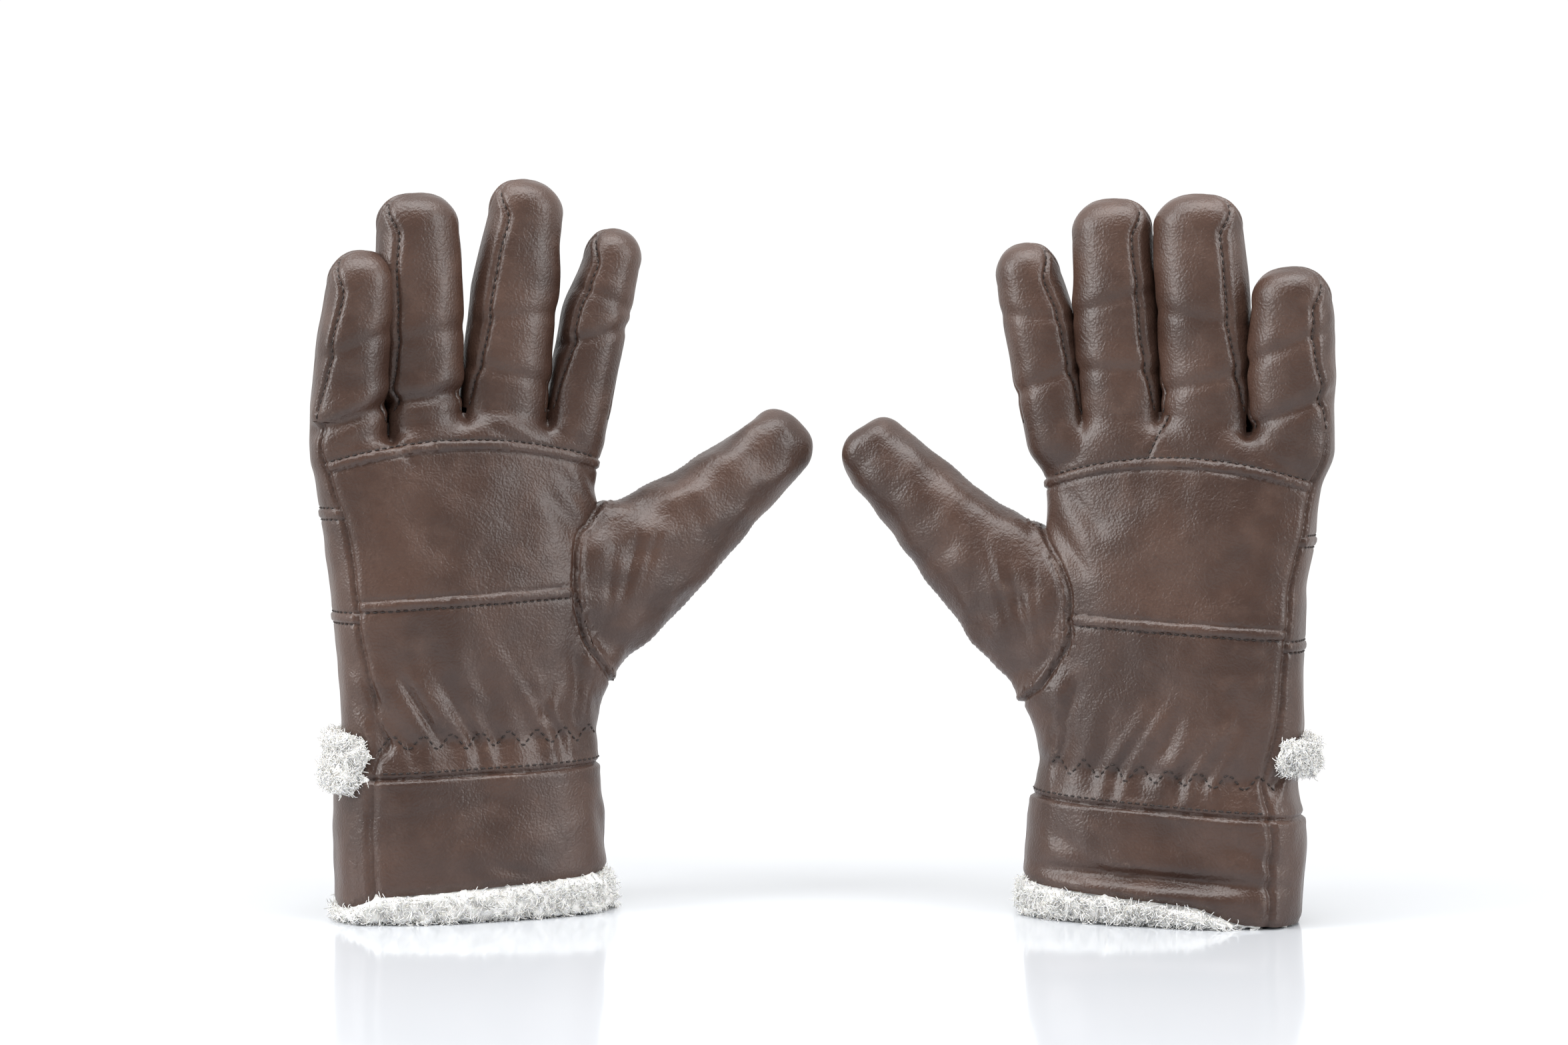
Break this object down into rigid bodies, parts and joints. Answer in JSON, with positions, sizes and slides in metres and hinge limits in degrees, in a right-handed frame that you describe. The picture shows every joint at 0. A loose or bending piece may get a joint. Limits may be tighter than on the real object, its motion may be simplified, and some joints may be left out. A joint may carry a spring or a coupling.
{
  "type": "pair of work gloves",
  "caption": "Pair of fleece-lined leather work gloves standing on their open cuffs, with hinged fingers and thumbs.",
  "frame": {"origin": "middle of the pair's bounding box on the plane that both cuffs stand on", "axes": "+Z from cuffs to fingertips, -Y the side that the palms face, +X from the right-hand glove to the left-hand glove"},
  "size_m": [0.3678, 0.0948, 0.2665],
  "materials": {
    "leather": "semi-gloss dark brown grain leather",
    "fleece": "off-white curly pile",
    "elastic": "flat woven elastic"
  },
  "bodies": {
    "right_hand": {"right_palm_finger_panel": "leather", "right_palm_middle_panel": "leather", "right_palm_heel_panel": "leather", "right_back_panels": "leather", "right_back_strap": "leather", "right_cuff_bands": "leather", "right_hand_lining": "fleece", "right_wrist_elastic": "elastic", "right_wrist_fleece_trim": "fleece", "right_hem_fleece": "fleece"},
    "right_index_base": {"right_index_base_leather": "leather", "right_index_base_lining": "fleece"},
    "right_index_tip": {"right_index_tip_leather": "leather", "right_index_tip_lining": "fleece"},
    "right_middle_base": {"right_middle_base_leather": "leather", "right_middle_base_lining": "fleece"},
    "right_middle_tip": {"right_middle_tip_leather": "leather", "right_middle_tip_lining": "fleece"},
    "right_ring_base": {"right_ring_base_leather": "leather", "right_ring_base_lining": "fleece"},
    "right_ring_tip": {"right_ring_tip_leather": "leather", "right_ring_tip_lining": "fleece"},
    "right_little_base": {"right_little_base_leather": "leather", "right_little_base_lining": "fleece"},
    "right_little_tip": {"right_little_tip_leather": "leather", "right_little_tip_lining": "fleece"},
    "right_thumb_base": {"right_thumb_base_leather": "leather", "right_thumb_base_lining": "fleece"},
    "right_thumb_tip": {"right_thumb_tip_leather": "leather", "right_thumb_tip_lining": "fleece"},
    "left_hand": {"left_palm_finger_panel": "leather", "left_palm_middle_panel": "leather", "left_palm_heel_panel": "leather", "left_back_panels": "leather", "left_back_strap": "leather", "left_cuff_bands": "leather", "left_hand_lining": "fleece", "left_wrist_elastic": "elastic", "left_wrist_fleece_trim": "fleece", "left_hem_fleece": "fleece"},
    "left_index_base": {"left_index_base_leather": "leather", "left_index_base_lining": "fleece"},
    "left_index_tip": {"left_index_tip_leather": "leather", "left_index_tip_lining": "fleece"},
    "left_middle_base": {"left_middle_base_leather": "leather", "left_middle_base_lining": "fleece"},
    "left_middle_tip": {"left_middle_tip_leather": "leather", "left_middle_tip_lining": "fleece"},
    "left_ring_base": {"left_ring_base_leather": "leather", "left_ring_base_lining": "fleece"},
    "left_ring_tip": {"left_ring_tip_leather": "leather", "left_ring_tip_lining": "fleece"},
    "left_little_base": {"left_little_base_leather": "leather", "left_little_base_lining": "fleece"},
    "left_little_tip": {"left_little_tip_leather": "leather", "left_little_tip_lining": "fleece"},
    "left_thumb_base": {"left_thumb_base_leather": "leather", "left_thumb_base_lining": "fleece"},
    "left_thumb_tip": {"left_thumb_tip_leather": "leather", "left_thumb_tip_lining": "fleece"}
  },
  "joints": [
    {"name": "right_index_base_flex", "type": "hinge", "parent": "right_hand", "child": "right_index_base", "pos_m": [-0.08689, 0.00386, 0.1844], "axis": [0.9249, 0.3185, -0.2079], "range_deg": [0, 80]},
    {"name": "right_index_middle_flex", "type": "hinge", "parent": "right_index_base", "child": "right_index_tip", "pos_m": [-0.08125, 0.00529, 0.21167], "axis": [0.9249, 0.3185, -0.2079], "range_deg": [0, 90]},
    {"name": "right_middle_base_flex", "type": "hinge", "parent": "right_hand", "child": "right_middle_base", "pos_m": [-0.11269, -0.00502, 0.1864], "axis": [0.9426, 0.3246, -0.0785], "range_deg": [0, 80]},
    {"name": "right_middle_middle_flex", "type": "hinge", "parent": "right_middle_base", "child": "right_middle_tip", "pos_m": [-0.11, -0.00472, 0.21997], "axis": [0.9426, 0.3246, -0.0785], "range_deg": [0, 90]},
    {"name": "right_ring_base_flex", "type": "hinge", "parent": "right_hand", "child": "right_ring_base", "pos_m": [-0.14, -0.01443, 0.18529], "axis": [0.9452, 0.3255, 0.0262], "range_deg": [0, 80]},
    {"name": "right_ring_middle_flex", "type": "hinge", "parent": "right_ring_base", "child": "right_ring_tip", "pos_m": [-0.14042, -0.01573, 0.21676], "axis": [0.9452, 0.3255, 0.0262], "range_deg": [0, 90]},
    {"name": "right_little_base_flex", "type": "hinge", "parent": "right_hand", "child": "right_little_base", "pos_m": [-0.16725, -0.02379, 0.18198], "axis": [0.9454, 0.3255, -0.0175], "range_deg": [0, 80]},
    {"name": "right_little_middle_flex", "type": "hinge", "parent": "right_little_base", "child": "right_little_tip", "pos_m": [-0.16619, -0.02562, 0.20574], "axis": [0.9454, 0.3255, -0.0175], "range_deg": [0, 90]},
    {"name": "right_thumb_base_flex", "type": "hinge", "parent": "right_hand", "child": "right_thumb_base", "pos_m": [-0.08743, -0.00373, 0.115], "axis": [0, 0, -1], "range_deg": [0, 50]},
    {"name": "right_thumb_middle_flex", "type": "hinge", "parent": "right_thumb_base", "child": "right_thumb_tip", "pos_m": [-0.03422, 0.01988, 0.1498], "axis": [0.6078, 0.2093, -0.766], "range_deg": [0, 60]},
    {"name": "left_index_base_flex", "type": "hinge", "parent": "left_hand", "child": "left_index_base", "pos_m": [0.08332, -0.00628, 0.1829], "axis": [0.9281, -0.3196, 0.1908], "range_deg": [0, 80]},
    {"name": "left_index_middle_flex", "type": "hinge", "parent": "left_index_base", "child": "left_index_tip", "pos_m": [0.07854, -0.00511, 0.20813], "axis": [0.9281, -0.3196, 0.1908], "range_deg": [0, 90]},
    {"name": "left_middle_base_flex", "type": "hinge", "parent": "left_hand", "child": "left_middle_base", "pos_m": [0.10855, -0.01497, 0.1849], "axis": [0.9432, -0.3248, 0.0698], "range_deg": [0, 80]},
    {"name": "left_middle_middle_flex", "type": "hinge", "parent": "left_middle_base", "child": "left_middle_tip", "pos_m": [0.10633, -0.01478, 0.21581], "axis": [0.9432, -0.3248, 0.0698], "range_deg": [0, 90]},
    {"name": "left_ring_base_flex", "type": "hinge", "parent": "left_hand", "child": "left_ring_base", "pos_m": [0.13739, -0.0249, 0.18479], "axis": [0.9455, -0.3256, 0.0087], "range_deg": [0, 80]},
    {"name": "left_ring_middle_flex", "type": "hinge", "parent": "left_ring_base", "child": "left_ring_tip", "pos_m": [0.13678, -0.02584, 0.21585], "axis": [0.9455, -0.3256, 0.0087], "range_deg": [0, 90]},
    {"name": "left_little_base_flex", "type": "hinge", "parent": "left_hand", "child": "left_little_base", "pos_m": [0.16765, -0.0353, 0.17848], "axis": [0.9455, -0.3256, 0], "range_deg": [0, 80]},
    {"name": "left_little_middle_flex", "type": "hinge", "parent": "left_little_base", "child": "left_little_tip", "pos_m": [0.16701, -0.03715, 0.2009], "axis": [0.9455, -0.3256, 0], "range_deg": [0, 90]},
    {"name": "left_thumb_base_flex", "type": "hinge", "parent": "left_hand", "child": "left_thumb_base", "pos_m": [0.08925, -0.01573, 0.1055], "axis": [0, 0, 1], "range_deg": [0, 50]},
    {"name": "left_thumb_middle_flex", "type": "hinge", "parent": "left_thumb_base", "child": "left_thumb_tip", "pos_m": [0.03978, 0.00659, 0.14617], "axis": [0.6801, -0.2342, 0.6947], "range_deg": [0, 60]},
    {"name": "left_glove_apart", "type": "slide", "parent": "right_hand", "child": "left_hand", "axis": [1, 0, 0], "range_m": [0, 0.1]}
  ]
}
